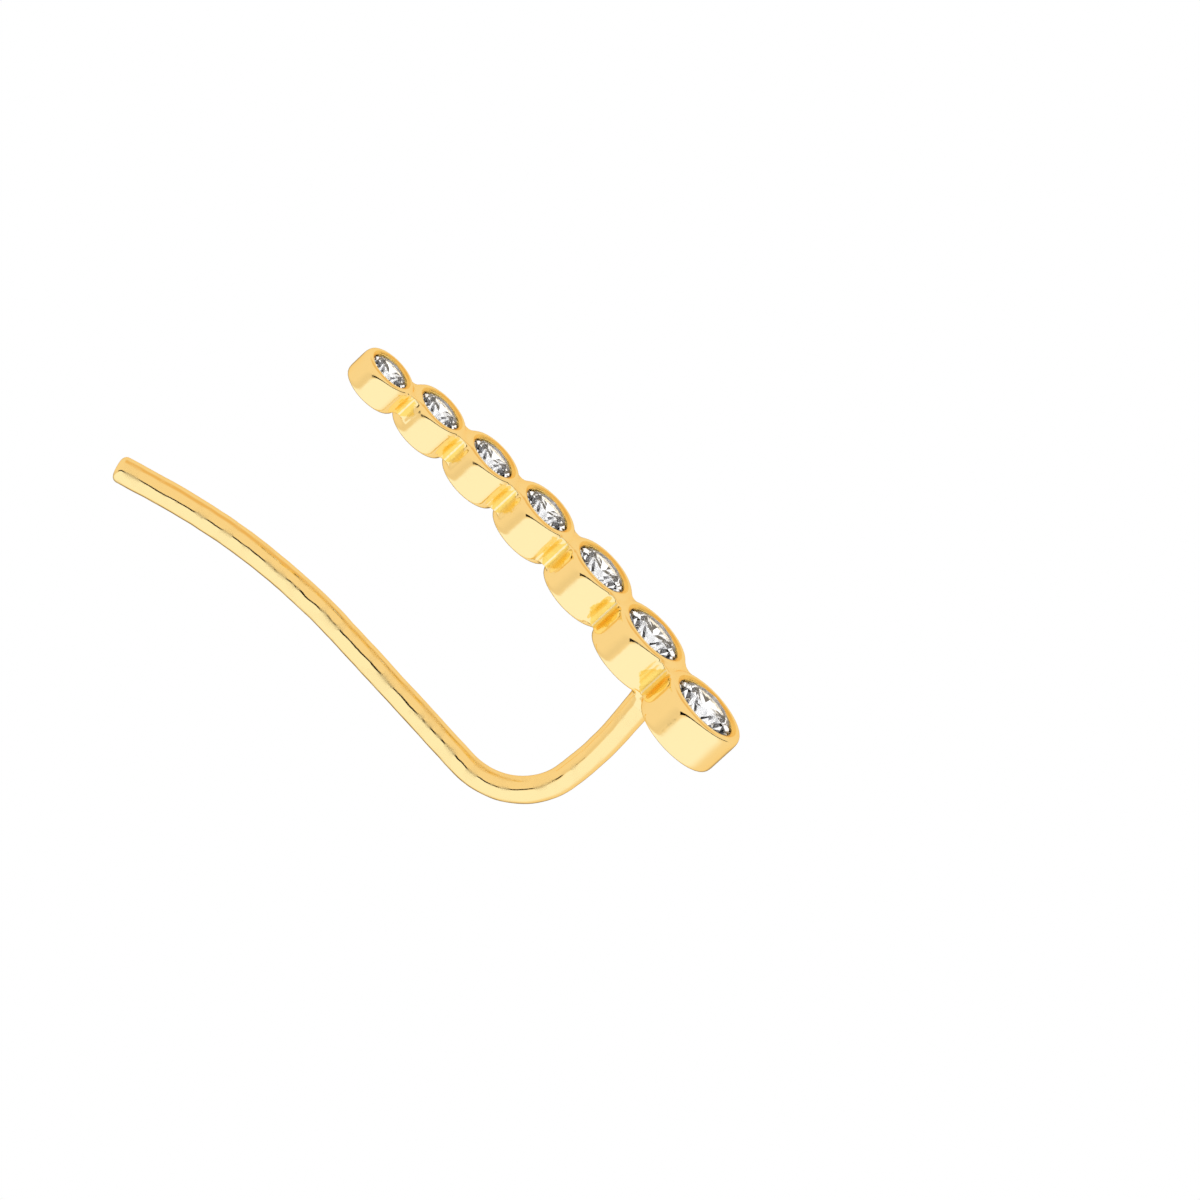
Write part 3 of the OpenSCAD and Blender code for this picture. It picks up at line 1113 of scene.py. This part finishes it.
# %% [markdown]
# ## Studio: the gap and the shades
#
# A narrow dark gap runs between the two cloths. On the metal it becomes a thin dark line, and this
# line is what makes gold look polished. It ends on the left, where the cloths are sewn together and
# the seam is slightly dimmer. Below the piece no cloth hangs, which gives the walls a fine dark
# outline at their backs.

# %% Paint the gap and the shades
# The dark gap: half its height and the softness of its edges
GAP_HALF_HEIGHT = 0.075
GAP_SOFTNESS = 0.008
# How far it reaches to the left, how soft it ends there, and where it ends behind the piece
GAP_LEFT = -0.74
GAP_LEFT_SOFTNESS = 0.02
GAP_BEHIND = (-0.4, -0.3)
# The seam beyond the gap's left end: how much dimmer, its heights and its fade to the side
SEAM_DIMMING = 0.1
SEAM_HEIGHTS = (0.3, 0.0)
SEAM_FADE = 0.1
# Shade under the piece: how much darker, how far it leans to the backs, where it starts and ends
LOW_SHADE = 0.7
SHADE_LEAN = 0.31
SHADE_EDGE = (0.8, 0.97)

height = rise.math("ABSOLUTE")
gap = edge(height, GAP_HALF_HEIGHT + GAP_SOFTNESS, GAP_HALF_HEIGHT - GAP_SOFTNESS)
gap = gap * edge(side, GAP_LEFT - GAP_LEFT_SOFTNESS, GAP_LEFT + GAP_LEFT_SOFTNESS)
gap = gap * edge(ahead, *GAP_BEHIND)
seam = edge(height, *SEAM_HEIGHTS) * edge(side, GAP_LEFT + SEAM_FADE, GAP_LEFT - SEAM_FADE)
below = (-toward_camera - face_in_picture * SHADE_LEAN).normalized()
shade = edge(way.dot(tuple(below)), *SHADE_EDGE) * LOW_SHADE
metal_light = (-gap + 1) * (-(seam * SEAM_DIMMING) + 1) * (-shade + 1)
print("cloths, gap and shades:", len(tree.nodes), "nodes")

# %% [markdown]
# ## Studio: the light in the stones, and what the camera sees
#
# A stone mixes what it sees from all sides, and the soft warm cloths would only make it grey and
# yellow. So the rays that went through a stone see a bright white tent that hangs in long dark
# pleats, with a dark opening for the lens: the facets turn the pleats into black strokes. Light
# Path's Transmission Depth picks these rays, and Is Camera Ray picks those that come straight from
# the camera, which see plain white.

# %% Paint the light for the stones
# How bright the stones' tent is, and how much less with each unit of height
STONE_CLOTH = 1.3
STONE_RISE = -0.35
# The opening for the lens: dark within the first cosine of the angle, light beyond the second
STONE_OPENING = (0.993, 0.985)
# The pleats: how many to the side, up and ahead, how dark, and where one starts in their noise
PLEAT_WAVES = (2, 12, 6)
PLEAT_DARKNESS = 0.95
PLEAT_EDGE = (0.52, 0.56)

place = value_of(
    tree, "ShaderNodeCombineXYZ",
    X=side * PLEAT_WAVES[0], Y=rise * PLEAT_WAVES[1], Z=ahead * PLEAT_WAVES[2],
)
pleats = edge(noise(tree, place, 1.0, 0.0), *PLEAT_EDGE)
stone_light = edge(ahead, *STONE_OPENING) * (rise * STONE_RISE + STONE_CLOTH) * (-gap + 1)
stone_light = stone_light * (-pleats * PLEAT_DARKNESS + 1)

for_stones = through_glass(tree)
for_camera = Value(tree, tree.nodes.new("ShaderNodeLightPath").outputs["Is Camera Ray"])
strength = metal_light + for_stones * (stone_light - metal_light)
strength = strength + for_camera * (-strength + 1)
colour = blend(tree, for_stones.math("MAXIMUM", for_camera), cloth, WHITE)
show(
    tree, add_node(tree, "ShaderNodeBackground", Color=colour, Strength=strength),
    "ShaderNodeOutputWorld",
)
bpy.context.scene.view_settings.view_transform = "Standard"
print("tent:", len(tree.nodes), "nodes")

# %% [markdown]
# ## Studio: the floor
#
# The piece lies on white paper without a shadow, so the paper shines evenly. It is there for the
# camera only: the photograph's gold reflects no floor, so in the metal and in the stones the tent
# goes on all round.

# %% Lay the floor
# Half the side of the floor in metres, and its corners going round
FLOOR_REACH = 3.0
CORNERS = ((-1, -1), (1, -1), (1, 1), (-1, 1))

floor_mesh = bpy.data.meshes.new("floor")
floor_mesh.from_pydata(
    [(x * FLOOR_REACH, y * FLOOR_REACH, 0) for x, y in CORNERS], [], [(0, 1, 2, 3)]
)
floor = bpy.data.objects.new("floor", floor_mesh)
bpy.context.collection.objects.link(floor)
paper, tree = new_material("white_paper")
show(tree, add_node(tree, "ShaderNodeEmission", Color=WHITE, Strength=1.0))
floor_mesh.materials.append(paper)
floor.visible_glossy = False
floor.visible_transmission = False
floor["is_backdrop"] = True
print("floor:", 2 * FLOOR_REACH, "m square")

# %% [markdown]
# ## Joining the pieces to the frame
#
# The row and the wire are one soldered piece of gold in the CAD model, so both ride on its one body
# and both stand for its one node. The stones stay the CAD's own nodes. Last, the boxes of the CAD
# model and of the visual model are written down, to show that the looks changed no size.

# %% Ride, replace and finish
for piece in (row, wire):
    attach(piece, "root")
    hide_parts("row_and_ear_wire")

VISUAL_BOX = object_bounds()
for corner, cad, visual in zip(("low", "high"), CAD_BOX, VISUAL_BOX):
    print(corner, "corner in mm: CAD", [round(value / MM, 3) for value in cad])
    print(corner, "corner in mm: visual", [round(value / MM, 3) for value in visual])
